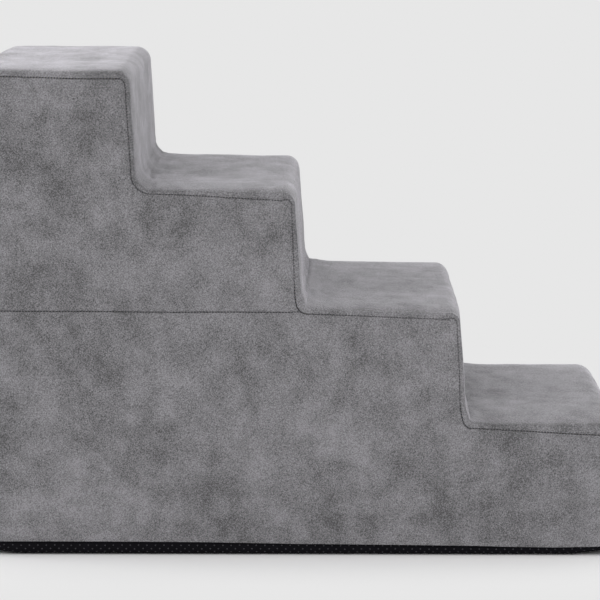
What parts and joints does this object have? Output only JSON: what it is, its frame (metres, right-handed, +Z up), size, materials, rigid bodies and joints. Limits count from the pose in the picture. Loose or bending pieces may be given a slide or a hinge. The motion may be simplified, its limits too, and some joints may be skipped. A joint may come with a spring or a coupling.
{
  "type": "pet stairs",
  "caption": "Foam block stairs for pets in a sewn suede cover, with rounded nosings, seams along the side edges, a dotted grip base and a rear zip.",
  "frame": {"origin": "on the floor under the middle of the stairs", "axes": "+X points to the foot of the stairs, +Y to the right of a pet that climbs, +Z up"},
  "size_m": [0.6151, 0.381, 0.457],
  "materials": {
    "suede": "grey micro-suede with a soft nap",
    "grip_fabric": "black grip fabric with rows of small rubber dots",
    "foam": "open-cell foam, matte",
    "thread": "dark grey sewing thread, matte",
    "zip_tape": "woven dark tape",
    "zip_coil": "satin nylon",
    "zip_metal": "gunmetal lacquer, satin"
  },
  "bodies": {
    "stairs": {"foam_slab_1": "foam", "foam_slab_2": "foam", "foam_slab_3": "foam", "foam_slab_4": "foam", "tread_strip": "suede", "back_panel": "suede", "back_lower_strip": "suede", "zip_end_tabs": "suede", "left_side_panel_upper": "suede", "left_side_panel_lower": "suede", "right_side_panel_upper": "suede", "right_side_panel_lower": "suede", "base_panel": "grip_fabric", "left_edge_seam": "thread", "right_edge_seam": "thread", "left_side_seam": "thread", "right_side_seam": "thread", "rear_seam": "thread", "base_seam": "thread", "zip_tape_upper": "zip_tape", "zip_tape_lower": "zip_tape", "zip_coil_upper": "zip_coil", "zip_coil_lower": "zip_coil", "zip_stops": "zip_coil"},
    "slider": {"zip_slider": "zip_metal"},
    "pull": {"zip_pull": "zip_metal"}
  },
  "joints": [
    {"name": "zip_slide", "type": "slide", "parent": "stairs", "child": "slider", "axis": [0, 1, 0], "range_m": [0, 0.299]},
    {"name": "pull_swing", "type": "hinge", "parent": "slider", "child": "pull", "pos_m": [-0.308, -0.14675, 0.045], "axis": [1, 0, 0], "range_deg": [-55, 180]}
  ]
}
